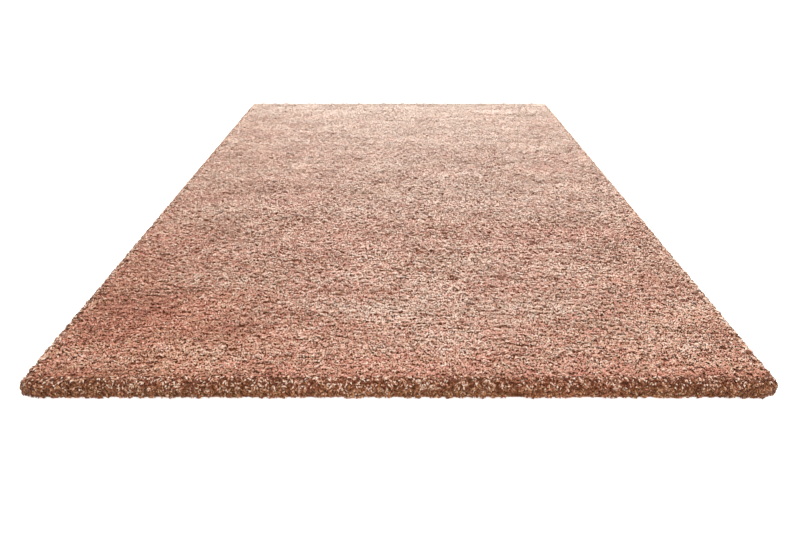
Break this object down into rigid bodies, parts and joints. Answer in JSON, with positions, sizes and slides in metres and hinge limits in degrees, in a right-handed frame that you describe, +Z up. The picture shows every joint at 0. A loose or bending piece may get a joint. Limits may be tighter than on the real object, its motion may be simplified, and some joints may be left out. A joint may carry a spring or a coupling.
{
  "type": "shag rug",
  "caption": "Rectangular shag rug lying flat: a dense deep pile with soft rounded edges and locks of yarn round its rim, for laying on a floor.",
  "frame": {"origin": "on the floor, under the middle of the rug", "axes": "+Y along the rug's length, +X across its width, +Z up out of the pile"},
  "size_m": [1.6, 2.3, 0.0455],
  "materials": {
    "pile_yarn": "matt heat-set pile yarn, blush and rust strands mixed"
  },
  "bodies": {
    "root": {"shag_rug": "pile_yarn"}
  },
  "joints": []
}
